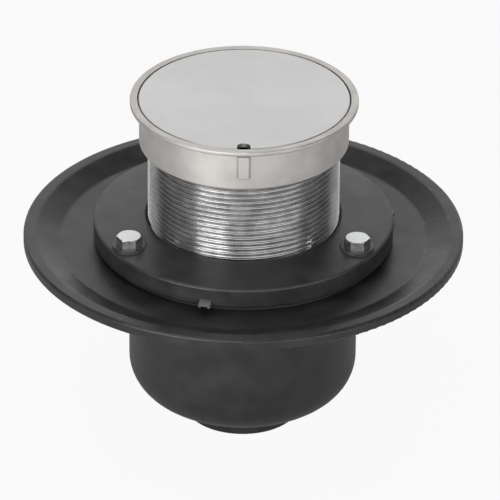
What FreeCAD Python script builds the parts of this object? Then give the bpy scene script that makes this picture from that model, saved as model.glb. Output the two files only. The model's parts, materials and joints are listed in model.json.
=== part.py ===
import FreeCAD, Part
import math
import os
import Sketcher

# Floor drain with a clamped flange and a height-adjustable head.
# Millimetres, +Z up, origin at the centre of the outlet boss's lower face.
# Radii grow outwards from the sleeve, and levels grow upwards from the outlet.
# Angles are in degrees, seen from above, from +X towards +Y.
DIMENSIONS = {
    # sleeve with the outside thread
    "sleeve_radius": 53.7,
    "sleeve_wall": 5.7,
    "sleeve_exposed": 46.7,
    "sleeve_engaged": 25.1,
    "sleeve_chamfer": 1.5,
    "sleeve_clearance": 0.3,
    "thread_pitch": 3.175,
    "thread_depth": 1.85,
    "thread_flat": 0.4,
    # clamp collar with its threaded hub
    "hub_wall": 3.6,
    "hub_depth": 10.2,
    "hub_land": 4.4,
    "hub_chamfer": 1.2,
    "collar_overhang": 3.0,
    "collar_height": 10.7,
    "collar_rise": 2.2,
    "collar_plate": 6.4,
    "collar_land": 7.0,
    "collar_edge_round": 1.2,
    # weep channels under the collar, each with a hood at its mouth
    "weep_count": 3,
    "weep_angle": -104.0,
    "weep_width": 3.9,
    "weep_height": 1.0,
    "hood_width": 6.7,
    "hood_reach": 4.0,
    "hood_lip": 0.3,
    "hood_slope": 1.6,
    # bolts that hold the collar, with the bosses they go through
    "bolt_count": 3,
    "bolt_offset": 8.7,
    "bolt_radius": 3.95,
    "bolt_length": 31.75,
    "bolt_end_chamfer": 0.8,
    "bolt_head_flats": 12.7,
    "bolt_head_height": 5.3,
    "bolt_hole_clearance": 0.45,
    "bolt_thread_clearance": 0.05,
    "bolt_pad_rise": 1.9,
    "bolt_boss_radius": 9.5,
    "bolt_boss_drop": 10.0,
    # cast bowl with its threaded outlet
    "throat_gap": 1.4,
    "bowl_wall": 5.3,
    "bowl_side": 73.7,
    "bowl_depth": 35.2,
    "bowl_knuckle_radius": 22.0,
    "bowl_floor_thickness": 10.2,
    "outlet_drop": 1.3,
    "outlet_bore_radius": 22.0,
    "outlet_boss_wall": 10.7,
    "outlet_fillet": 2.5,
    # dished flange of the same casting
    "seat_margin": 8.0,
    "seat_rise": 3.0,
    "dish_width": 22.0,
    "dish_slope_width": 13.6,
    "dish_thickness": 6.2,
    "dish_fillet": 5.0,
    "rim_width": 6.8,
    "rim_rise": 5.0,
    "rim_thickness": 6.4,
    "flange_fillet": 8.0,
    "cast_edge_round": 1.4,
    # frame on top of the sleeve
    "frame_fit_clearance": 0.1,
    "skirt_wall": 4.6,
    "skirt_depth": 25.7,
    "lip_overhang": 5.1,
    "lip_width": 4.1,
    "lip_thickness": 2.2,
    "lip_taper": 2.7,
    "lip_round": 0.6,
    "recess_wall": 2.4,
    "ledge_reach": 3.7,
    "ledge_width": 6.0,
    "ledge_chamfer": 2.0,
    "ledge_thickness": 3.5,
    # lugs on the skirt that key the head into the floor
    "lug_count": 3,
    "lug_width": 7.7,
    "lug_front_width": 5.6,
    "lug_reach": 1.8,
    "lug_clear_of_skirt_end": 7.5,
    # cover plate on its feet
    "cover_gap": 0.7,
    "cover_thickness": 2.4,
    "cover_edge_chamfer": 0.4,
    "notch_width": 7.3,
    "notch_depth": 6.4,
    "foot_count": 4,
    "foot_angle": 45.0,
    "foot_radius": 1.8,
    "foot_height": 3.2,
}

# Radii, from the sleeve outwards
SLEEVE = "Dims.sleeve_radius"
SLEEVE_BORE = f"({SLEEVE} - Dims.sleeve_wall)"
HUB_BORE = f"({SLEEVE} + Dims.sleeve_clearance)"
HUB = f"({HUB_BORE} + Dims.hub_wall)"
HUB_LAND = f"({HUB} + Dims.hub_land)"
THROAT = f"({HUB} + Dims.throat_gap)"
BOWL = f"({THROAT} + Dims.bowl_wall)"
BOLT_CIRCLE = f"({BOWL} + Dims.bolt_offset)"
SEAT = f"({BOLT_CIRCLE} + Dims.seat_margin)"
COLLAR = f"({SEAT} + Dims.collar_overhang)"
COLLAR_LAND = f"({COLLAR} - Dims.collar_land)"
DISH = f"({SEAT} + Dims.dish_width)"
RIM_INSIDE = f"({DISH} + Dims.dish_slope_width)"
FLANGE = f"({RIM_INSIDE} + Dims.rim_width)"
OUTLET_BOSS = "(Dims.outlet_bore_radius + Dims.outlet_boss_wall)"
FRAME_BORE = f"({SLEEVE} + Dims.frame_fit_clearance)"
SKIRT = f"({FRAME_BORE} + Dims.skirt_wall)"
LIP = f"({SKIRT} + Dims.lip_overhang)"
RECESS = f"({LIP} - Dims.lip_width)"
LEDGE = f"({SLEEVE} - Dims.ledge_reach)"
LEDGE_INSIDE = f"({LEDGE} + Dims.ledge_chamfer)"
LEDGE_OUTSIDE = f"({LEDGE} + Dims.ledge_width)"
COVER = f"({RECESS} - Dims.cover_gap)"

# Levels, from the outlet upwards
SHOULDER_LEVEL = "(Dims.outlet_drop + Dims.bowl_depth)"
DISH_LEVEL = f"({SHOULDER_LEVEL} + Dims.bowl_side)"
DISH_UNDERSIDE = f"({DISH_LEVEL} - Dims.dish_thickness)"
RIM_LEVEL = f"({DISH_LEVEL} + Dims.rim_rise)"
RIM_UNDERSIDE = f"({RIM_LEVEL} - Dims.rim_thickness)"
BOSS_UNDERSIDE = f"({DISH_UNDERSIDE} - Dims.bolt_boss_drop)"
SEAT_LEVEL = f"({DISH_LEVEL} + Dims.seat_rise)"
HUB_UNDERSIDE = f"({SEAT_LEVEL} - Dims.hub_depth)"
COLLAR_LEVEL = f"({SEAT_LEVEL} + Dims.collar_height)"
HUB_LEVEL = f"({COLLAR_LEVEL} + Dims.collar_rise)"
PAD_LEVEL = f"({COLLAR_LEVEL} + Dims.bolt_pad_rise)"
SLEEVE_UNDERSIDE = f"({HUB_LEVEL} - Dims.sleeve_engaged)"
SKIRT_UNDERSIDE = f"({HUB_LEVEL} + Dims.sleeve_exposed)"
HEAD_LEVEL = f"({SKIRT_UNDERSIDE} + Dims.skirt_depth)"
LIP_UNDERSIDE = f"({HEAD_LEVEL} - Dims.lip_thickness)"
COVER_UNDERSIDE = f"({HEAD_LEVEL} - Dims.cover_thickness)"
LEDGE_LEVEL = f"({COVER_UNDERSIDE} - Dims.foot_height)"
SLEEVE_LEVEL = f"({LEDGE_LEVEL} - Dims.ledge_thickness)"

doc = FreeCAD.newDocument("floor_drain")
sheet = doc.addObject("Spreadsheet::Sheet", "Dims")
for row, (alias, number) in enumerate(DIMENSIONS.items(), start=1):
    sheet.set(f"A{row}", alias)
    sheet.set(f"B{row}", str(number))
    sheet.setAlias(f"B{row}", alias)
doc.recompute()


def value(expression):
    return float(sheet.evalExpression(expression))


def new_body(label):
    body = doc.addObject("PartDesign::Body", label)
    body.Label = label
    return body


def origin_feature(body, role):
    return next(feature for feature in body.Origin.OriginFeatures if feature.Role == role)


# Sketches

def flat_sketch(body, name, level, across="0"):
    """Sketch parallel to the floor, with its own origin moved along +Y by across."""
    sketch = body.newObject("Sketcher::SketchObject", name)
    sketch.AttachmentSupport = [(origin_feature(body, "XY_Plane"), "")]
    sketch.MapMode = "FlatFace"
    sketch.setExpression("AttachmentOffset.Base.y", across)
    sketch.setExpression("AttachmentOffset.Base.z", level)
    return sketch


def upright_sketch(body, name, angle="0", across="0"):
    """Sketch that stands on the Z axis at an angle, or is moved off it along +Y by across."""
    sketch = body.newObject("Sketcher::SketchObject", name)
    sketch.AttachmentSupport = [(origin_feature(body, "XZ_Plane"), "")]
    sketch.MapMode = "FlatFace"
    turn = FreeCAD.Rotation(FreeCAD.Vector(0, 1, 0), value(angle))
    sketch.AttachmentOffset = FreeCAD.Placement(FreeCAD.Vector(), turn)
    sketch.setExpression("AttachmentOffset.Rotation.Angle", f"{angle} * 1 deg")
    sketch.setExpression("AttachmentOffset.Base.z", f"-({across})")
    return sketch


def bind(sketch, constraint, expression):
    index = sketch.addConstraint(constraint)
    sketch.setExpression(f"Constraints[{index}]", expression)


def pin_point(sketch, geometry, end, x, y):
    """Hold one point of a sketch element at a place given by two expressions."""
    bind(sketch, Sketcher.Constraint("DistanceX", -1, 1, geometry, end, value(x)), x)
    bind(sketch, Sketcher.Constraint("DistanceY", -1, 1, geometry, end, value(y)), y)


def draw_line(sketch, start, end):
    return sketch.addGeometry(Part.LineSegment(FreeCAD.Vector(*start, 0), FreeCAD.Vector(*end, 0)))


def draw_arc(sketch, centre, radius, first, last):
    circle = Part.Circle(FreeCAD.Vector(*centre, 0), FreeCAD.Vector(0, 0, 1), radius)
    return sketch.addGeometry(Part.ArcOfCircle(circle, first, last))


def draw_circle(sketch, radius, x="0", y="0"):
    centre = FreeCAD.Vector(value(x), value(y), 0)
    circle = sketch.addGeometry(Part.Circle(centre, FreeCAD.Vector(0, 0, 1), value(radius)))
    pin_point(sketch, circle, 3, x, y)
    bind(sketch, Sketcher.Constraint("Radius", circle, value(radius)), radius)


def draw_outline(sketch, corners):
    """Closed outline of straight edges through corners, each a pair of expressions."""
    places = [(value(x), value(y)) for x, y in corners]
    edges = [draw_line(sketch, start, end) for start, end in zip(places, places[1:] + places[:1])]
    for edge, following in zip(edges, edges[1:] + edges[:1]):
        sketch.addConstraint(Sketcher.Constraint("Coincident", edge, 2, following, 1))
    for edge, (x, y) in zip(edges, corners):
        pin_point(sketch, edge, 1, x, y)


# Features

def add_feature(body, kind, name, sketch, **settings):
    feature = body.newObject(f"PartDesign::{kind}", name)
    feature.Profile = sketch
    for setting, content in settings.items():
        setattr(feature, setting, content)
    return feature


def revolve(body, kind, name, sketch):
    feature = add_feature(body, kind, name, sketch, ReferenceAxis=(sketch, ["V_Axis"]), Angle=360.0)
    doc.recompute()
    return feature


def extrude(body, kind, name, sketch, length, **settings):
    feature = add_feature(body, kind, name, sketch, **settings)
    feature.setExpression("Length", length)
    doc.recompute()
    return feature


def repeat_around(body, name, features, count):
    pattern = body.newObject("PartDesign::PolarPattern", name)
    pattern.Originals = features
    pattern.Axis = (origin_feature(body, "Z_Axis"), [""])
    pattern.Angle = 360.0
    pattern.setExpression("Occurrences", count)
    body.Tip = pattern
    doc.recompute()
    return pattern


def round_edges(body, name, feature, places, radius):
    """Fillet the feature's round edges that lie at the given pairs of radius and level."""
    wanted = [(value(place_radius), value(level)) for place_radius, level in places]
    names = []
    for number, edge in enumerate(feature.Shape.Edges, start=1):
        if edge.Curve.TypeId != "Part::GeomCircle":
            continue
        found = (edge.Curve.Radius, edge.Curve.Center.z)
        if any(math.dist(found, place) < 1e-4 for place in wanted):
            names.append(f"Edge{number}")
    fillet = body.newObject("PartDesign::Fillet", name)
    fillet.Base = (feature, names)
    fillet.setExpression("Radius", radius)
    doc.recompute()
    return fillet


# Cast body: bowl with its outlet, dished flange and bolt bosses

def draw_dome(sketch, radius, knuckle, depth, hole):
    """Half section of a bowl's dished end, from its side at the shoulder to a hole round the axis.

    A knuckle arc leaves the upright side and runs into a crown arc that is centred on the axis.
    """
    shoulder = value(SHOULDER_LEVEL)
    knuckle_radius = value(knuckle)
    inset = value(radius) - knuckle_radius
    drop = value(depth)
    crown_radius = (inset ** 2 + drop ** 2 - knuckle_radius ** 2) / (2 * (drop - knuckle_radius))
    crown_height = shoulder - drop + crown_radius
    meeting = math.atan2(shoulder - crown_height, inset)
    hole_edge = -math.acos(value(hole) / crown_radius)
    knuckle_arc = draw_arc(sketch, (inset, shoulder), knuckle_radius, meeting, 0)
    crown_arc = draw_arc(sketch, (0, crown_height), crown_radius, hole_edge, meeting)
    pin_point(sketch, knuckle_arc, 2, radius, SHOULDER_LEVEL)
    bind(sketch, Sketcher.Constraint("Radius", knuckle_arc, knuckle_radius), knuckle)
    sketch.addConstraint(Sketcher.Constraint("Horizontal", knuckle_arc, 3, knuckle_arc, 2))
    sketch.addConstraint(Sketcher.Constraint("Tangent", knuckle_arc, 1, crown_arc, 2))
    sketch.addConstraint(Sketcher.Constraint("PointOnObject", crown_arc, 3, -2))
    lowest = sketch.addGeometry(Part.Point(FreeCAD.Vector(0, shoulder - drop, 0)), True)
    pin_point(sketch, lowest, 1, "0", f"{SHOULDER_LEVEL} - {depth}")
    sketch.addConstraint(Sketcher.Constraint("PointOnObject", lowest, 1, crown_arc))
    bind(sketch, Sketcher.Constraint("DistanceX", -1, 1, crown_arc, 1, value(hole)), hole)
    return knuckle_arc, crown_arc


def draw_bowl(sketch):
    """Section of the bowl's wall between its outer and inner dome, with the outlet boss."""
    inner_knuckle = "(Dims.bowl_knuckle_radius - Dims.bowl_wall)"
    inner_depth = "(Dims.bowl_depth - Dims.bowl_floor_thickness)"
    outer = draw_dome(sketch, BOWL, "Dims.bowl_knuckle_radius", "Dims.bowl_depth", OUTLET_BOSS)
    inner = draw_dome(sketch, THROAT, inner_knuckle, inner_depth, "Dims.outlet_bore_radius")
    bore, boss = value("Dims.outlet_bore_radius"), value(OUTLET_BOSS)
    shoulder, top = value(SHOULDER_LEVEL), value(DISH_LEVEL)
    boss_top = sketch.getPoint(outer[1], 1).y
    bore_top = sketch.getPoint(inner[1], 1).y
    chain = [
        (outer[0], 2, draw_line(sketch, (value(BOWL), shoulder), (value(BOWL), top))),
        (None, 2, draw_line(sketch, (value(BOWL), top), (value(THROAT), top))),
        (None, 2, draw_line(sketch, (value(THROAT), top), (value(THROAT), shoulder))),
        (outer[1], 1, draw_line(sketch, (boss, boss_top), (boss, 0))),
        (None, 2, draw_line(sketch, (boss, 0), (bore, 0))),
        (None, 2, draw_line(sketch, (bore, 0), (bore, bore_top))),
    ]
    previous = None
    for arc, end, line in chain:
        joined = previous if arc is None else arc
        sketch.addConstraint(Sketcher.Constraint("Coincident", joined, end, line, 1))
        previous = line
    sketch.addConstraint(Sketcher.Constraint("Coincident", chain[2][2], 2, inner[0], 2))
    sketch.addConstraint(Sketcher.Constraint("Coincident", chain[5][2], 2, inner[1], 1))
    pin_point(sketch, chain[1][2], 1, BOWL, DISH_LEVEL)
    pin_point(sketch, chain[2][2], 1, THROAT, DISH_LEVEL)
    pin_point(sketch, chain[4][2], 1, OUTLET_BOSS, "0")
    pin_point(sketch, chain[5][2], 1, "Dims.outlet_bore_radius", "0")
    return str(boss_top)


def make_drain_body():
    body = new_body("drain_body")
    bowl_section = upright_sketch(body, "bowl_section")
    boss_top = draw_bowl(bowl_section)
    revolve(body, "Revolution", "bowl", bowl_section)

    flange_section = upright_sketch(body, "flange_section")
    draw_outline(flange_section, [
        (THROAT, DISH_UNDERSIDE),
        (DISH, DISH_UNDERSIDE),
        (RIM_INSIDE, RIM_UNDERSIDE),
        (FLANGE, RIM_UNDERSIDE),
        (FLANGE, RIM_LEVEL),
        (RIM_INSIDE, RIM_LEVEL),
        (DISH, DISH_LEVEL),
        (SEAT, DISH_LEVEL),
        (SEAT, SEAT_LEVEL),
        (THROAT, SEAT_LEVEL),
    ])
    casting = revolve(body, "Revolution", "flange", flange_section)
    casting = round_edges(body, "flange_root", casting, [(BOWL, DISH_UNDERSIDE)], "Dims.flange_fillet")
    casting = round_edges(body, "outlet_root", casting, [(OUTLET_BOSS, boss_top)], "Dims.outlet_fillet")
    creases = [
        (DISH, DISH_LEVEL),
        (DISH, DISH_UNDERSIDE),
        (RIM_INSIDE, RIM_LEVEL),
        (RIM_INSIDE, RIM_UNDERSIDE),
    ]
    casting = round_edges(body, "dish_creases", casting, creases, "Dims.dish_fillet")
    sharp = [(FLANGE, RIM_LEVEL), (FLANGE, RIM_UNDERSIDE), (OUTLET_BOSS, "0")]
    round_edges(body, "cast_edges", casting, sharp, "Dims.cast_edge_round")

    boss = flat_sketch(body, "bolt_boss_outline", BOSS_UNDERSIDE, across=BOLT_CIRCLE)
    draw_circle(boss, "Dims.bolt_boss_radius")
    bosses = extrude(body, "Pad", "bolt_boss", boss, f"{DISH_LEVEL} - {BOSS_UNDERSIDE}")
    repeat_around(body, "bolt_bosses", [bosses], "Dims.bolt_count")
    hole = flat_sketch(body, "bolt_hole_outline", SEAT_LEVEL, across=BOLT_CIRCLE)
    draw_circle(hole, "Dims.bolt_radius + Dims.bolt_thread_clearance")
    holes = extrude(body, "Pocket", "bolt_hole", hole, f"{SEAT_LEVEL} - {BOSS_UNDERSIDE}")
    repeat_around(body, "bolt_holes", [holes], "Dims.bolt_count")
    return body


# Clamp collar: threaded hub, hollow underside, bolt pads and weep channels

def make_clamp_collar():
    body = new_body("clamp_collar")
    section = upright_sketch(body, "collar_section")
    plate_underside = f"{COLLAR_LEVEL} - Dims.collar_plate"
    draw_outline(section, [
        (HUB_BORE, HUB_UNDERSIDE),
        (HUB, HUB_UNDERSIDE),
        (HUB, SEAT_LEVEL),
        (HUB_LAND, SEAT_LEVEL),
        (HUB_LAND, plate_underside),
        (COLLAR_LAND, plate_underside),
        (COLLAR_LAND, SEAT_LEVEL),
        (COLLAR, SEAT_LEVEL),
        (COLLAR, COLLAR_LEVEL),
        (HUB, HUB_LEVEL),
        (f"{HUB_BORE} + Dims.hub_chamfer", HUB_LEVEL),
        (HUB_BORE, f"{HUB_LEVEL} - Dims.hub_chamfer"),
    ])
    ring = revolve(body, "Revolution", "ring", section)
    round_edges(body, "collar_edge", ring, [(COLLAR, COLLAR_LEVEL)], "Dims.collar_edge_round")

    pad_outline = flat_sketch(body, "bolt_pad_outline", SEAT_LEVEL, across=BOLT_CIRCLE)
    draw_circle(pad_outline, "Dims.bolt_boss_radius")
    pad = extrude(body, "Pad", "bolt_pad", pad_outline, f"{PAD_LEVEL} - {SEAT_LEVEL}")
    repeat_around(body, "bolt_pads", [pad], "Dims.bolt_count")
    hole_outline = flat_sketch(body, "bolt_hole_outline", PAD_LEVEL, across=BOLT_CIRCLE)
    draw_circle(hole_outline, "Dims.bolt_radius + Dims.bolt_hole_clearance")
    hole = extrude(body, "Pocket", "bolt_hole", hole_outline, f"{PAD_LEVEL} - {SEAT_LEVEL}")
    repeat_around(body, "bolt_holes", [hole], "Dims.bolt_count")

    hood_section = upright_sketch(body, "hood_section", angle="Dims.weep_angle")
    hood_root = f"{COLLAR} - Dims.hood_reach"
    hood_front = f"{COLLAR} + Dims.hood_reach"
    hood_eave = f"{SEAT_LEVEL} + Dims.weep_height + Dims.hood_lip"
    hood_crest = f"{hood_eave} + Dims.hood_slope"
    draw_outline(hood_section, [
        (hood_root, SEAT_LEVEL),
        (hood_front, SEAT_LEVEL),
        (hood_front, hood_eave),
        (COLLAR, hood_crest),
        (hood_root, hood_crest),
    ])
    hood = extrude(body, "Pad", "hood", hood_section, "Dims.hood_width", Midplane=True)
    repeat_around(body, "hoods", [hood], "Dims.weep_count")
    # each channel bites a little into the hub, so that it opens into the throat
    channel_end = f"{HUB} - Dims.weep_height / 2"
    channel_mouth = f"{hood_front} + Dims.weep_height"
    channel_section = upright_sketch(body, "channel_section", angle="Dims.weep_angle")
    draw_outline(channel_section, [
        (channel_end, SEAT_LEVEL),
        (channel_mouth, SEAT_LEVEL),
        (channel_mouth, f"{SEAT_LEVEL} + Dims.weep_height"),
        (channel_end, f"{SEAT_LEVEL} + Dims.weep_height"),
    ])
    channel = extrude(body, "Pocket", "channel", channel_section, "Dims.weep_width", Midplane=True)
    repeat_around(body, "channels", [channel], "Dims.weep_count")
    return body


# Hex bolts, one solid each

def make_collar_bolts():
    body = new_body("collar_bolts")
    bolt_end = f"{PAD_LEVEL} - Dims.bolt_length"
    shank_section = upright_sketch(body, "shank_section", across=BOLT_CIRCLE)
    draw_outline(shank_section, [
        ("0", bolt_end),
        ("Dims.bolt_radius - Dims.bolt_end_chamfer", bolt_end),
        ("Dims.bolt_radius", f"{bolt_end} + Dims.bolt_end_chamfer"),
        ("Dims.bolt_radius", PAD_LEVEL),
        ("0", PAD_LEVEL),
    ])
    shank = revolve(body, "Revolution", "shank", shank_section)
    head_outline = flat_sketch(body, "head_outline", PAD_LEVEL, across=BOLT_CIRCLE)
    corner_radius = "Dims.bolt_head_flats / sqrt(3)"
    draw_outline(head_outline, [
        (f"{corner_radius} * cos({angle} deg)", f"{corner_radius} * sin({angle} deg)")
        for angle in range(0, 360, 60)
    ])
    head = extrude(body, "Pad", "head", head_outline, "Dims.bolt_head_height")
    # the corners of the head are turned off at 30 degrees, down from its round top face
    head_level = f"{PAD_LEVEL} + Dims.bolt_head_height"
    face_radius = "Dims.bolt_head_flats / 2"
    clear_radius = "Dims.bolt_head_flats"
    chamfer_section = upright_sketch(body, "chamfer_section", across=BOLT_CIRCLE)
    draw_outline(chamfer_section, [
        (face_radius, head_level),
        (clear_radius, f"{head_level} - ({clear_radius} - {face_radius}) * tan(30 deg)"),
        (clear_radius, head_level),
    ])
    chamfer = revolve(body, "Groove", "head_chamfer", chamfer_section)
    repeat_around(body, "bolts", [shank, head, chamfer], "Dims.bolt_count")
    return body


# Sleeve: tube with an outside thread from end to end, chamfered at both ends

def cut_thread(body):
    """Right-hand groove with straight flanks, which starts below the sleeve and runs out above it."""
    turn_start = f"({SLEEVE_UNDERSIDE} - Dims.thread_pitch)"
    flank_width = "(Dims.thread_pitch / 2 - Dims.thread_flat)"
    root_half = "(Dims.thread_flat / 2)"
    # the mouth lies a little outside the crest, on the line of the flanks
    overrun = "(Dims.thread_flat / 2)"
    mouth_half = f"({root_half} + {flank_width} * (Dims.thread_depth + {overrun}) / Dims.thread_depth)"
    groove = upright_sketch(body, "groove_section")
    draw_outline(groove, [
        (f"{SLEEVE} - Dims.thread_depth", f"{turn_start} - {root_half}"),
        (f"{SLEEVE} + {overrun}", f"{turn_start} - {mouth_half}"),
        (f"{SLEEVE} + {overrun}", f"{turn_start} + {mouth_half}"),
        (f"{SLEEVE} - Dims.thread_depth", f"{turn_start} + {root_half}"),
    ])
    z_axis = (origin_feature(body, "Z_Axis"), [""])
    thread = add_feature(body, "SubtractiveHelix", "thread", groove, ReferenceAxis=z_axis, Mode=0)
    thread.setExpression("Pitch", "Dims.thread_pitch")
    thread.setExpression("Height", f"{SLEEVE_LEVEL} - {SLEEVE_UNDERSIDE} + 2 * Dims.thread_pitch")
    doc.recompute()


def make_threaded_sleeve():
    body = new_body("threaded_sleeve")
    section = upright_sketch(body, "sleeve_section")
    chamfered = f"{SLEEVE} - Dims.sleeve_chamfer"
    draw_outline(section, [
        (SLEEVE_BORE, SLEEVE_UNDERSIDE),
        (chamfered, SLEEVE_UNDERSIDE),
        (SLEEVE, f"{SLEEVE_UNDERSIDE} + Dims.sleeve_chamfer"),
        (SLEEVE, f"{SLEEVE_LEVEL} - Dims.sleeve_chamfer"),
        (chamfered, SLEEVE_LEVEL),
        (SLEEVE_BORE, SLEEVE_LEVEL),
    ])
    revolve(body, "Revolution", "tube", section)
    cut_thread(body)
    return body


# Frame: lip round the cover's recess, floor that drains to a ledge, skirt over the sleeve, and lugs

def make_head_frame():
    body = new_body("head_frame")
    section = upright_sketch(body, "frame_section")
    taper_end = f"{LIP_UNDERSIDE} - Dims.lip_taper"
    draw_outline(section, [
        (FRAME_BORE, SKIRT_UNDERSIDE),
        (SKIRT, SKIRT_UNDERSIDE),
        (SKIRT, taper_end),
        (LIP, LIP_UNDERSIDE),
        (LIP, HEAD_LEVEL),
        (RECESS, HEAD_LEVEL),
        (RECESS, f"{HEAD_LEVEL} - Dims.recess_wall"),
        (LEDGE_OUTSIDE, LEDGE_LEVEL),
        (LEDGE_INSIDE, LEDGE_LEVEL),
        (LEDGE, f"{LEDGE_LEVEL} - Dims.ledge_chamfer"),
        (LEDGE, SLEEVE_LEVEL),
        (FRAME_BORE, SLEEVE_LEVEL),
    ])
    ring = revolve(body, "Revolution", "ring", section)
    lip_edges = [(LIP, HEAD_LEVEL), (LIP, LIP_UNDERSIDE), (SKIRT, SKIRT_UNDERSIDE)]
    round_edges(body, "lip_edges", ring, lip_edges, "Dims.lip_round")

    # the first lug faces -Y; it narrows outwards, and its root ends within the skirt's wall
    lug_front = f"-({SKIRT} + Dims.lug_reach)"
    lug_root = f"-({SKIRT} - Dims.skirt_wall / 4)"
    lug_underside = f"({SKIRT_UNDERSIDE} + Dims.lug_clear_of_skirt_end)"
    lug_outline = flat_sketch(body, "lug_outline", lug_underside)
    draw_outline(lug_outline, [
        ("-Dims.lug_front_width / 2", lug_front),
        ("Dims.lug_front_width / 2", lug_front),
        ("Dims.lug_width / 2", f"-{SKIRT}"),
        ("Dims.lug_width / 2", lug_root),
        ("-Dims.lug_width / 2", lug_root),
        ("-Dims.lug_width / 2", f"-{SKIRT}"),
    ])
    lug = extrude(body, "Pad", "lug", lug_outline, f"{taper_end} - {lug_underside}")
    repeat_around(body, "lugs", [lug], "Dims.lug_count")
    return body


# Cover plate: disc with a lift notch, on small feet

def draw_notch(sketch):
    """Slot with a round inner end, open past the cover's edge on the -Y side."""
    half = value("Dims.notch_width / 2")
    arc_centre = f"-({COVER} - Dims.notch_depth + Dims.notch_width / 2)"
    mouth = f"-({COVER} + Dims.notch_width)"
    inner, outer = value(arc_centre), value(mouth)
    arc = draw_arc(sketch, (0, inner), half, 0, math.pi)
    left = draw_line(sketch, (-half, inner), (-half, outer))
    across = draw_line(sketch, (-half, outer), (half, outer))
    right = draw_line(sketch, (half, outer), (half, inner))
    sketch.addConstraint(Sketcher.Constraint("Tangent", arc, 2, left, 1))
    sketch.addConstraint(Sketcher.Constraint("Coincident", left, 2, across, 1))
    sketch.addConstraint(Sketcher.Constraint("Coincident", across, 2, right, 1))
    sketch.addConstraint(Sketcher.Constraint("Tangent", right, 2, arc, 1))
    pin_point(sketch, arc, 3, "0", arc_centre)
    pin_point(sketch, across, 1, "-Dims.notch_width / 2", mouth)
    pin_point(sketch, across, 2, "Dims.notch_width / 2", mouth)


def make_cover_plate():
    body = new_body("cover_plate")
    section = upright_sketch(body, "plate_section")
    draw_outline(section, [
        ("0", COVER_UNDERSIDE),
        (COVER, COVER_UNDERSIDE),
        (COVER, f"{HEAD_LEVEL} - Dims.cover_edge_chamfer"),
        (f"{COVER} - Dims.cover_edge_chamfer", HEAD_LEVEL),
        ("0", HEAD_LEVEL),
    ])
    revolve(body, "Revolution", "plate", section)
    foot_circle = f"({LEDGE_INSIDE} + {LEDGE_OUTSIDE}) / 2"
    foot_outline = flat_sketch(body, "foot_outline", COVER_UNDERSIDE)
    foot_x = f"{foot_circle} * cos(Dims.foot_angle * 1 deg)"
    foot_y = f"{foot_circle} * sin(Dims.foot_angle * 1 deg)"
    draw_circle(foot_outline, "Dims.foot_radius", foot_x, foot_y)
    foot = extrude(body, "Pad", "foot", foot_outline, "Dims.foot_height", Reversed=True)
    repeat_around(body, "feet", [foot], "Dims.foot_count")
    notch_outline = flat_sketch(body, "notch_outline", HEAD_LEVEL)
    draw_notch(notch_outline)
    notch = extrude(body, "Pocket", "notch", notch_outline, "Dims.cover_thickness")
    body.Tip = notch
    doc.recompute()
    return body


pieces = [
    make_drain_body(),
    make_clamp_collar(),
    make_collar_bolts(),
    make_threaded_sleeve(),
    make_head_frame(),
    make_cover_plate(),
]
doc.recompute()

failed = [item.Label for item in doc.Objects if {"Invalid", "Error"} & set(item.State)]
failed += [piece.Label for piece in pieces if piece.Shape.isNull() or not piece.Shape.isValid()]
if failed:
    raise RuntimeError("failed objects: " + ", ".join(failed))

os.makedirs("parts", exist_ok=True)
for piece in pieces:
    piece.Shape.exportStep(f"parts/{piece.Label}.step")
    print(piece.Label, len(piece.Shape.Solids), "solids,", round(piece.Shape.Volume), "cubic mm")
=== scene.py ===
import json
import math

import bmesh
import bpy
from mathutils import Matrix, Vector


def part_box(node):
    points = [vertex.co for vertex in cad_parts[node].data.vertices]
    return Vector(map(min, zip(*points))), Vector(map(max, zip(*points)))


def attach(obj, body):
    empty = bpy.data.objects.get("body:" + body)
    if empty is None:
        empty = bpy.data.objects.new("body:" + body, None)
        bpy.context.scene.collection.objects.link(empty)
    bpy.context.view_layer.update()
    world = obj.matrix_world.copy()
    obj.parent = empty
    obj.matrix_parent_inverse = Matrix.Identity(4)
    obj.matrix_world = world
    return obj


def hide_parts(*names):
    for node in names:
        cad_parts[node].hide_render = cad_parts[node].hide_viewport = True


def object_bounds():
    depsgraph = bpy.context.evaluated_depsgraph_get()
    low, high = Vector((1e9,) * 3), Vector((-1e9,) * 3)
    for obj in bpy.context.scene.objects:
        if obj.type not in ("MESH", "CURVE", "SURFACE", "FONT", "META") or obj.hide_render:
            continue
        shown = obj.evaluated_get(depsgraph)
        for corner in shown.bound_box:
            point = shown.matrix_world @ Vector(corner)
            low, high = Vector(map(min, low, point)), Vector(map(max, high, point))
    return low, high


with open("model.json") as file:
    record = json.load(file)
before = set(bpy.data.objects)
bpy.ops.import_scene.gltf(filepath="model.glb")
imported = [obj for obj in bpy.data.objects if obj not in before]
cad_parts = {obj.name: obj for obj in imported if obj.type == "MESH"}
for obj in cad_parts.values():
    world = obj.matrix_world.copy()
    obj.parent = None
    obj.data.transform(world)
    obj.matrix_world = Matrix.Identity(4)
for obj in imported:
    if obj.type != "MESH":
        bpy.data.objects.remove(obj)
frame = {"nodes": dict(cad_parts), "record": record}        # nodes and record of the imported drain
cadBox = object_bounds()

print("frame loaded:", ", ".join(sorted(frame["nodes"])))


# small helpers for node trees

mmPerMetre = 1000
white = (1, 1, 1, 1)


def addNode(tree, kind, settings=None, wires=None):
    node = tree.nodes.new(kind)
    for name, value in (settings or {}).items():
        setattr(node, name, value)
    for name, value in (wires or {}).items():
        if isinstance(value, bpy.types.NodeSocket):
            tree.links.new(value, node.inputs[name])
        else:
            node.inputs[name].default_value = value
    return node


def maths(tree, operation, *values):
    wires = dict(enumerate(values))
    return addNode(tree, "ShaderNodeMath", {"operation": operation}, wires).outputs[0]


def vectorMaths(tree, operation, *values):
    wires = dict(enumerate(values))
    return addNode(tree, "ShaderNodeVectorMath", {"operation": operation}, wires).outputs


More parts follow.
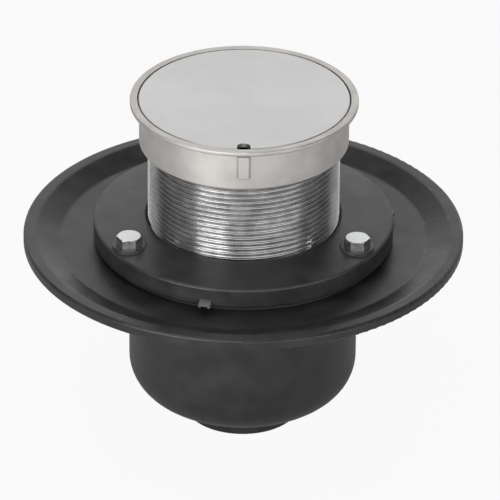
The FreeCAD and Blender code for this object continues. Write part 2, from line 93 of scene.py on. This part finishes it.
def newMaterial(name, sockets):
    material = bpy.data.materials.new(name)
    material.use_nodes = True
    tree = material.node_tree
    shader = tree.nodes["Principled BSDF"]
    for socket, value in sockets.items():
        shader.inputs[socket].default_value = value
    return material, tree, shader


def wireShader(tree, shader, wires):
    for socket, output in wires.items():
        tree.links.new(output, shader.inputs[socket])


def objectPlace(tree):
    return addNode(tree, "ShaderNodeTexCoord").outputs["Object"]


def grain(tree, place, sizeMm, detail=3.0, roughness=0.55):
    # soft noise whose lumps are about sizeMm across
    wires = {"Vector": place, "Scale": mmPerMetre / sizeMm, "Detail": detail, "Roughness": roughness}
    return addNode(tree, "ShaderNodeTexNoise", wires=wires).outputs["Fac"]


def ramp(tree, factor, colours, stops=(0.35, 0.65)):
    # runs from one colour to the other between the two stops
    node = addNode(tree, "ShaderNodeValToRGB", wires={"Fac": factor})
    for point, position, colour in zip(node.color_ramp.elements, stops, colours):
        point.position = position
        point.color = (*colour, 1)
    return node.outputs["Color"]


def span(tree, factor, low, high, fromLow=0.3, fromHigh=0.7):
    # stretches the busy middle of a noise to the range low to high
    wires = {"Value": factor, "From Min": fromLow, "From Max": fromHigh,
             "To Min": low, "To Max": high}
    return addNode(tree, "ShaderNodeMapRange", wires=wires).outputs["Result"]


def fade(tree, value, dark, full):
    # eases from 0 at dark to 1 at full
    wires = {"Value": value, "From Min": dark, "From Max": full}
    settings = {"interpolation_type": "SMOOTHSTEP"}
    return addNode(tree, "ShaderNodeMapRange", settings, wires).outputs["Result"]


def softEdges(tree, reachMm, samples=8):
    # normals that run round the edges, as a worn or coated corner shows
    wires = {"Radius": reachMm / mmPerMetre}
    return addNode(tree, "ShaderNodeBevel", {"samples": samples}, wires).outputs["Normal"]


def bump(tree, height, depthMm, below=None):
    wires = {"Height": height, "Distance": depthMm / mmPerMetre, "Strength": 1.0}
    if below is not None:
        wires["Normal"] = below
    return addNode(tree, "ShaderNodeBump", wires=wires).outputs["Normal"]


def flattened(tree, place):
    return vectorMaths(tree, "MULTIPLY", place, (1, 1, 0))[0]


def axisDistance(tree, place):
    return vectorMaths(tree, "LENGTH", flattened(tree, place))["Value"]


def mixColour(tree, factor, first, second):
    # colour of first where factor is 0 and of second where it is 1
    wires = {0: factor, 6: first, 7: (*second, 1)}      # 6 and 7 are the node's two colours
    return addNode(tree, "ShaderNodeMix", {"data_type": "RGBA"}, wires).outputs[2]


def turnedLines(tree, place, lineMm, turns):
    # streaks that run round the Z axis, as a lathe tool leaves them, with no seam
    perLine = mmPerMetre / lineMm
    around = vectorMaths(tree, "NORMALIZE", flattened(tree, place))[0]
    slow = vectorMaths(tree, "MULTIPLY", around, (turns, turns, turns))[0]
    rise = vectorMaths(tree, "MULTIPLY", place, (0, 0, perLine))[0]
    where = vectorMaths(tree, "ADD", slow, rise)[0]
    across = maths(tree, "MULTIPLY", axisDistance(tree, place), perLine)
    wires = {"Vector": where, "W": across, "Scale": 1.0, "Detail": 2.0, "Roughness": 0.6}
    return addNode(tree, "ShaderNodeTexNoise", {"noise_dimensions": "4D"}, wires).outputs["Fac"]


def dress(nodeName, material):
    mesh = frame["nodes"][nodeName].data
    mesh.materials.clear()
    mesh.materials.append(material)


# cast body and clamp collar: iron castings dipped in black coating

drainBody = {
    "node": "drain_body",
    "dark": (0.016, 0.016, 0.0164),
    "light": (0.030, 0.030, 0.0304),
    "stops": (0.35, 0.68),  # levels of the blotches that take these two colours
    "blotchMm": 15.6,
    "roughness": (0.32, 0.44),
    "ior": 1.5,
    "gloss": 0.64,
    "sandMm": 1.3,          # sand grain that shows through the coating
    "sandDepthMm": 0.10,
    "waveMm": 26.0,         # slow unevenness of the casting
    "waveDepthMm": 0.5,
    "edgeMm": 1.0,          # how far the coating softens the edges
}

clampCollar = {
    "node": "clamp_collar",
    "dark": (0.022, 0.022, 0.0224),
    "light": (0.040, 0.040, 0.0404),
    "stops": (0.35, 0.68),
    "blotchMm": 12.0,
    "roughness": (0.32, 0.46),
    "ior": 1.5,
    "gloss": 0.66,
    "sandMm": 1.1,
    "sandDepthMm": 0.10,
    "waveMm": 20.0,
    "waveDepthMm": 0.3,
    "edgeMm": 0.8,
    "hoodHighlightFrom": (0.0841, 0.0848),     # distance from the axis where the hoods begin, and with them the painted highlight
    "hoodHighlightColour": (0.13, 0.13, 0.13),       # painted highlight: a lighter colour on the hoods, standing in for the light their sloped tops catch
}


def coatedIron(look):
    sockets = {"IOR": look["ior"], "Specular IOR Level": look["gloss"]}
    material, tree, shader = newMaterial(look["node"] + "_coating", sockets)
    place = objectPlace(tree)
    blotch = grain(tree, place, look["blotchMm"], detail=5.0)
    sand = grain(tree, place, look["sandMm"])
    wave = grain(tree, place, look["waveMm"], detail=1.0)
    colour = ramp(tree, blotch, (look["dark"], look["light"]), look["stops"])
    # painted highlight: beyond the collar's rim the colour turns lighter, standing in for the light the hoods catch
    if "hoodHighlightColour" in look:
        hoodHighlightMask = span(tree, axisDistance(tree, place), 0.0, 1.0, *look["hoodHighlightFrom"])
        colour = mixColour(tree, hoodHighlightMask, colour, look["hoodHighlightColour"])
    slow = bump(tree, wave, look["waveDepthMm"], softEdges(tree, look["edgeMm"]))
    wireShader(tree, shader, {
        "Base Color": colour,
        "Roughness": span(tree, blotch, *look["roughness"]),
        "Normal": bump(tree, sand, look["sandDepthMm"], slow),
    })
    dress(look["node"], material)
    return material


bodyCoating = coatedIron(drainBody)
coatedIron(clampCollar)
print("castings coated")


# collar bolts: bright zinc plating

collarBolts = {
    "node": "collar_bolts",
    "dull": (0.63, 0.64, 0.65),
    "bright": (0.76, 0.77, 0.77),
    "roughness": (0.24, 0.40),
    "patchMm": 3.0,
    "scratchMm": 0.5,
    "scratchDepthMm": 0.012,
}


def platedBolts(look):
    material, tree, shader = newMaterial("bolt_zinc", {"Metallic": 1.0})
    place = objectPlace(tree)
    patch = grain(tree, place, look["patchMm"], detail=4.0)
    scratch = grain(tree, place, look["scratchMm"])
    wireShader(tree, shader, {
        "Base Color": ramp(tree, patch, (look["dull"], look["bright"])),
        "Roughness": span(tree, patch, *look["roughness"]),
        "Normal": bump(tree, scratch, look["scratchDepthMm"]),
    })
    dress(look["node"], material)


platedBolts(collarBolts)
print("bolts plated")


# threads: a helical band of rows is stitched turn to turn, then cut level at both ends

def threadProfile(fraction, crest, root):
    # height of the thread, 1 at the crest and 0 at the root, with straight flanks
    offset = abs((fraction + 0.5) % 1.0 - 0.5)
    foot, top = 0.5 - root / 2, crest / 2
    return min(1.0, max(0.0, (foot - offset) / (foot - top)))


def threadWall(form, radiusAt, pitch, low, high, segments, rows, cutReach=1e-7):
    # rows lists where the points of one turn lie along the pitch
    spareTurns, leadTurns = 2, 1.5      # turns past the ends, which the cuts take off
    turnCount = math.ceil((high - low) / pitch) + spareTurns
    levels = [(turn + fraction) * pitch for turn in range(turnCount + 1) for fraction in rows]
    start = low - leadTurns * pitch
    grid = []
    for level in levels:
        ring = []
        for step in range(segments):
            angle = 2 * math.pi * step / segments
            height = start + level + pitch * step / segments
            radius = radiusAt(level / pitch, height)
            spot = (radius * math.cos(angle), radius * math.sin(angle), height)
            ring.append(form.verts.new(spot))
        grid.append(ring)
    for index in range(len(grid) - 1):
        lower, upper = grid[index], grid[index + 1]
        for step in range(segments):
            after, row = step + 1, index
            if after == segments:
                after, row = 0, index + len(rows)       # the turn runs on into the next one
            if row + 1 < len(grid):
                form.faces.new((lower[step], grid[row][after], grid[row + 1][after], upper[step]))
    for level, side in ((low, -1), (high, 1)):
        parts = form.verts[:] + form.edges[:] + form.faces[:]
        bmesh.ops.bisect_plane(form, geom=parts, dist=cutReach, plane_co=(0, 0, level),
                               plane_no=(0, 0, side), clear_outer=True)


def plainWall(form, radius, low, high, segments):
    turn = [2 * math.pi * step / segments for step in range(segments)]
    rings = []
    for level in (low, high):
        spots = [(radius * math.cos(angle), radius * math.sin(angle), level) for angle in turn]
        rings.append([form.verts.new(spot) for spot in spots])
    for step in range(segments):
        after = (step + 1) % segments
        form.faces.new((rings[0][step], rings[0][after], rings[1][after], rings[1][step]))


def closeEnd(form, level, plainRadius, near=1e-6):
    # zips the plain rim and the cut rim of the thread together, going round by angle
    def angleOf(vert, lap):
        return math.atan2(vert.co.y, vert.co.x) % (2 * math.pi) + 2 * math.pi * lap

    rim = {vert for edge in form.edges if edge.is_boundary
           for vert in edge.verts if abs(vert.co.z - level) < near}
    plain, cut = [], []
    for vert in sorted(rim, key=lambda vert: angleOf(vert, 0)):
        onPlain = abs(math.hypot(vert.co.x, vert.co.y) - plainRadius) < near
        (plain if onPlain else cut).append(vert)

    def ahead(ring, place):
        place += 1
        return angleOf(ring[place % len(ring)], place // len(ring))

    first = second = 0
    while first < len(plain) or second < len(cut):
        here, there = plain[first % len(plain)], cut[second % len(cut)]
        plainLeft, cutDone = first < len(plain), second == len(cut)
        if cutDone or (plainLeft and ahead(plain, first) <= ahead(cut, second)):
            first += 1
            form.faces.new((here, plain[first % len(plain)], there))
        else:
            second += 1
            form.faces.new((here, cut[second % len(cut)], there))


def finishMesh(form, name, material, sharpAngle=50):
    bmesh.ops.recalc_face_normals(form, faces=form.faces)
    for face in form.faces:
        face.smooth = True
    limit = math.radians(sharpAngle)
    for edge in form.edges:
        edge.smooth = len(edge.link_faces) == 2 and edge.calc_face_angle(0) < limit
    mesh = bpy.data.meshes.new(name)
    form.to_mesh(mesh)
    form.free()
    mesh.materials.append(material)
    piece = bpy.data.objects.new(name, mesh)
    bpy.context.scene.collection.objects.link(piece)
    return piece


def makeThread(look, name, material, radiusAt, plainRadius, low, high):
    # closed ring with the thread on one side and a plain wall on the other
    form = bmesh.new()
    threadWall(form, radiusAt, look["pitch"], low, high, look["segments"], look["rows"])
    plainWall(form, plainRadius, low, high, look["segments"])
    for level in (low, high):
        closeEnd(form, level, plainRadius)
    return finishMesh(form, name, material)


# threaded sleeve: turned tube with a right-hand thread of 8 turns an inch

threadedSleeve = {
    "node": "threaded_sleeve",
    "wall": 0.0057,
    "pitch": 0.003175,
    "depth": 0.00185,
    "crest": 0.126,         # flat at the crest and at the root, as shares of the pitch
    "root": 0.126,
    "chamfer": 0.0015,
    "segments": 144,
    "rows": (0.0, 0.05, 0.10, 0.18, 0.25, 0.32, 0.40, 0.45,
             0.5, 0.55, 0.60, 0.68, 0.75, 0.82, 0.90, 0.95),
    "dull": (0.45, 0.45, 0.45),
    "bright": (0.61, 0.61, 0.605),
    "patchMm": 9.0,
    "roughness": (0.12, 0.22),
    "lineMm": 0.25,
    "lineDepthMm": 0.01,
    "turns": 4.0,           # how much a streak changes on its way round
}


def turnedSteel(look):
    material, tree, shader = newMaterial("sleeve_steel", {"Metallic": 1.0})
    place = objectPlace(tree)
    streak = turnedLines(tree, place, look["lineMm"], look["turns"])
    patch = grain(tree, place, look["patchMm"], detail=4.0)
    wireShader(tree, shader, {
        "Base Color": ramp(tree, patch, (look["dull"], look["bright"])),
        "Roughness": span(tree, streak, *look["roughness"]),
        "Normal": bump(tree, streak, look["lineDepthMm"]),
    })
    return material


def makeSleeve(look):
    lowest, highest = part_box(look["node"])
    crestRadius = highest.x
    endRadius = crestRadius - look["chamfer"]
    boreRadius = crestRadius - look["wall"]

    def radiusAt(turn, height):
        ridge = threadProfile(turn, look["crest"], look["root"])
        radius = crestRadius - look["depth"] * (1 - ridge)
        nearEnd = min(height - lowest.z, highest.z - height)
        return min(radius, endRadius + max(nearEnd, 0))

    sleeve = makeThread(look, "threaded_sleeve_turned", turnedSteel(look), radiusAt,
                        boreRadius, lowest.z, highest.z)
    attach(sleeve, "head")
    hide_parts(look["node"])
    print("sleeve threaded:", len(sleeve.data.polygons), "faces")


makeSleeve(threadedSleeve)


# outlet: pipe thread of 11.5 turns an inch inside the boss

outletThread = {
    "mount": "outlet",
    "pitch": 0.002209,
    "depth": 0.0009,
    "crest": 0.10,
    "root": 0.14,
    "inset": 0.0007,        # plain bore left at both ends
    "sunk": 0.00005,        # how far its back lies in the casting
    "segments": 96,
    "rows": (0.0, 0.05, 0.12, 0.20, 0.28, 0.36, 0.43,
             0.5, 0.57, 0.64, 0.72, 0.80, 0.88, 0.95),
}


def makeOutletThread(look, material):
    mounts = frame["record"]["mounts"]
    bore = next(mount["dims"] for mount in mounts if mount["name"] == look["mount"])
    boreRadius, low = bore["r_mm"] / mmPerMetre, look["inset"]
    high = bore["length_mm"] / mmPerMetre - look["inset"]

    def radiusAt(turn, height):
        ridge = look["depth"] * threadProfile(turn, look["crest"], look["root"])
        return boreRadius - min(ridge, max(min(height - low, high - height), 0))

    thread = makeThread(look, "outlet_thread", material, radiusAt,
                        boreRadius + look["sunk"], low, high)
    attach(thread, "drain")
    print("outlet threaded:", len(thread.data.polygons), "faces")


makeOutletThread(outletThread, bodyCoating)


# head frame and cover plate: satin nickel bronze, turned on a lathe

headFrame = {
    "node": "head_frame",
    "material": "frame_nickel_bronze",
    "dull": (0.66, 0.635, 0.61),
    "bright": (0.76, 0.735, 0.71),
    "patchMm": 14.0,
    "roughness": (0.48, 0.60),
    "anisotropy": 0.15,
    "lineMm": 0.35,
    "lineDepthMm": 0.012,
    "turns": 3.0,
    "edgeMm": 0.5,
}

coverPlate = {
    "node": "cover_plate",
    "material": "cover_nickel_bronze",
    "dull": (0.635, 0.635, 0.63),
    "bright": (0.66, 0.66, 0.655),
    "patchMm": 22.0,
    "roughness": (0.34, 0.44),
    "anisotropy": 0.3,
    "lineMm": 0.45,
    "lineDepthMm": 0.006,
    "turns": 3.0,
    "edgeMm": 0.3,
}

quarterTurn = 0.25      # turns the stretch of the shine across the lathe's lines


def satinBronze(look):
    sockets = {"Metallic": 1.0, "Anisotropic": look["anisotropy"],
               "Anisotropic Rotation": quarterTurn}
    material, tree, shader = newMaterial(look["material"], sockets)
    place = objectPlace(tree)
    streak = turnedLines(tree, place, look["lineMm"], look["turns"])
    patch = grain(tree, place, look["patchMm"], detail=4.0)
    around = addNode(tree, "ShaderNodeTangent", {"direction_type": "RADIAL", "axis": "Z"})
    wireShader(tree, shader, {
        "Base Color": ramp(tree, patch, (look["dull"], look["bright"])),
        "Roughness": span(tree, streak, *look["roughness"]),
        "Normal": bump(tree, streak, look["lineDepthMm"], softEdges(tree, look["edgeMm"])),
        "Tangent": around.outputs["Tangent"],
    })
    dress(look["node"], material)


satinBronze(headFrame)
satinBronze(coverPlate)
print("head finished")


# stage: white floor, dim room with a lit sweep behind and a backdrop for the metal, soft panels

def rayKinds(tree):
    # rays from the camera, and rays by which metal and glass see the stage
    rays = addNode(tree, "ShaderNodeLightPath").outputs
    mirrored = maths(tree, "MAXIMUM", rays["Is Glossy Ray"], rays["Is Transmission Ray"])
    return rays["Is Camera Ray"], mirrored


stageFloor = {
    "size": 12.0,
    "level": -0.0003,       # a hair below the outlet's face
    "colour": (0.66, 0.66, 0.66),
    "seen": 0.93,           # share of plain white that the camera sees
    "mirrored": 0.15,       # share of plain white that metal and glass see
}


def makeFloor(look):
    material = bpy.data.materials.new("floor_white")
    material.use_nodes = True
    tree = material.node_tree
    tree.nodes.clear()
    fromCamera, mirrored = rayKinds(tree)
    seen = maths(tree, "MULTIPLY", fromCamera, look["seen"])
    share = maths(tree, "MULTIPLY_ADD", mirrored, look["mirrored"], seen)
    paint = addNode(tree, "ShaderNodeBsdfDiffuse", wires={"Color": (*look["colour"], 1)}).outputs[0]
    glow = addNode(tree, "ShaderNodeEmission", wires={"Color": white, "Strength": 1.0}).outputs[0]
    both = addNode(tree, "ShaderNodeMixShader", wires={0: share, 1: paint, 2: glow}).outputs[0]
    addNode(tree, "ShaderNodeOutputMaterial", wires={"Surface": both})
    half, level = look["size"] / 2, look["level"]
    sides = ((-half, -half), (half, -half), (half, half), (-half, half))
    mesh = bpy.data.meshes.new("floor")
    mesh.from_pydata([(x, y, level) for x, y in sides], [], [(0, 1, 2, 3)])
    mesh.materials.append(material)
    floor = bpy.data.objects.new("floor", mesh)
    bpy.context.scene.collection.objects.link(floor)


studioRoom = {
    "room": 0.06,                   # dim walls and ceiling
    "sweep": 1.08,                  # lit white sweep behind the object
    "sweepReach": (0.72, 0.98),     # where it fades out, upwards and to the sides
    "backdrop": 0.50,               # white backdrop on all sides, which the metal shows
    "backdropFoot": (0.14, 0.32),   # sines of the heights between which it fades in
    "backdropTop": (0.42, 0.62),    # and between which it fades out
}


def makeRoom(look):
    world = bpy.data.worlds.new("studio")
    bpy.context.scene.world = world
    world.use_nodes = True
    tree = world.node_tree
    tree.nodes.clear()
    fromCamera, mirrored = rayKinds(tree)
    direction = addNode(tree, "ShaderNodeTexCoord").outputs["Generated"]
    axes = addNode(tree, "ShaderNodeSeparateXYZ", wires={0: direction}).outputs
    reach = maths(tree, "ADD", axes["Z"], maths(tree, "ABSOLUTE", axes["X"]))
    near, far = look["sweepReach"]
    behind = maths(tree, "GREATER_THAN", axes["Y"], 0.0)
    lit = maths(tree, "MULTIPLY", fade(tree, reach, far, near), behind)
    strength = span(tree, lit, look["room"], look["sweep"], 0.0, 1.0)
    shown = maths(tree, "MULTIPLY", mirrored, look["backdrop"])
    for dark, full in (look["backdropFoot"], reversed(look["backdropTop"])):
        shown = maths(tree, "MULTIPLY", shown, fade(tree, axes["Z"], dark, full))
    for least in (shown, fromCamera):
        strength = maths(tree, "MAXIMUM", strength, least)
    wires = {"Color": white, "Strength": strength}
    room = addNode(tree, "ShaderNodeBackground", wires=wires).outputs[0]
    addNode(tree, "ShaderNodeOutputWorld", wires={"Surface": room})


softPanels = {
    # degrees: azimuth from the camera's side towards +X, then height; metres and watts
    "strip": {"azimuth": -90, "height": 72.0, "size": (1.2, 0.374), "watts": 3.6},
    "ceiling": {"azimuth": 90, "height": 80.0, "size": (1.2, 0.80), "watts": 2.6},
    "key": {"azimuth": -37, "height": 3.6, "size": (0.95, 0.3), "watts": 7.0},
    "wing": {"azimuth": -36, "height": 29, "size": (0.95, 1.1), "watts": 3.4},
    "fill": {"azimuth": 24, "height": 18, "size": (2.7, 1.09), "watts": 12.9},
}

panelDistance = 1.5     # metres from the drain's middle


def makePanels(panels, middle):
    for name, look in panels.items():
        light = bpy.data.lights.new(name, "AREA")
        light.shape = "RECTANGLE"
        light.size, light.size_y = look["size"]
        light.energy = look["watts"]
        azimuth, height = math.radians(look["azimuth"]), math.radians(look["height"])
        across = Vector((math.cos(azimuth), math.sin(azimuth), 0))
        level = Vector((math.sin(azimuth), -math.cos(azimuth), 0))
        out = level * math.cos(height) + Vector((0, 0, math.sin(height)))
        turn = Matrix((across, out.cross(across), out)).transposed().to_4x4()
        lamp = bpy.data.objects.new(name, light)
        lamp.matrix_world = Matrix.Translation(middle + out * panelDistance) @ turn
        lamp.visible_camera = False
        bpy.context.scene.collection.objects.link(lamp)


photoCamera = {
    "distance": 3.2,
    "elevation": 29.55,
    "target": (0.0038, 0.0, 0.1019),
    "roll": -0.44,
    "lens": 409.7,
    "sensor": 36.0,
    "clipEnd": 50,
}


def makeCamera(look):
    data = bpy.data.cameras.new("photo_camera")
    data.lens = look["lens"]
    data.sensor_width = look["sensor"]
    data.clip_end = look["clipEnd"]
    camera = bpy.data.objects.new("photo_camera", data)
    bpy.context.scene.collection.objects.link(camera)
    elevation, roll = math.radians(look["elevation"]), math.radians(look["roll"])
    back = Vector((0, -math.cos(elevation), math.sin(elevation)))
    right = Vector((1, 0, 0))
    up = back.cross(right)
    side = right * math.cos(roll) - up * math.sin(roll)
    top = right * math.sin(roll) + up * math.cos(roll)
    turn = Matrix((side, top, back)).transposed().to_4x4()
    spot = Vector(look["target"]) + back * look["distance"]
    camera.matrix_world = Matrix.Translation(spot) @ turn
    bpy.context.scene.camera = camera


makeFloor(stageFloor)
makeRoom(studioRoom)
makePanels(softPanels, (cadBox[0] + cadBox[1]) / 2)
makeCamera(photoCamera)
bpy.context.scene.view_settings.view_transform = "Standard"
print("stage ready")
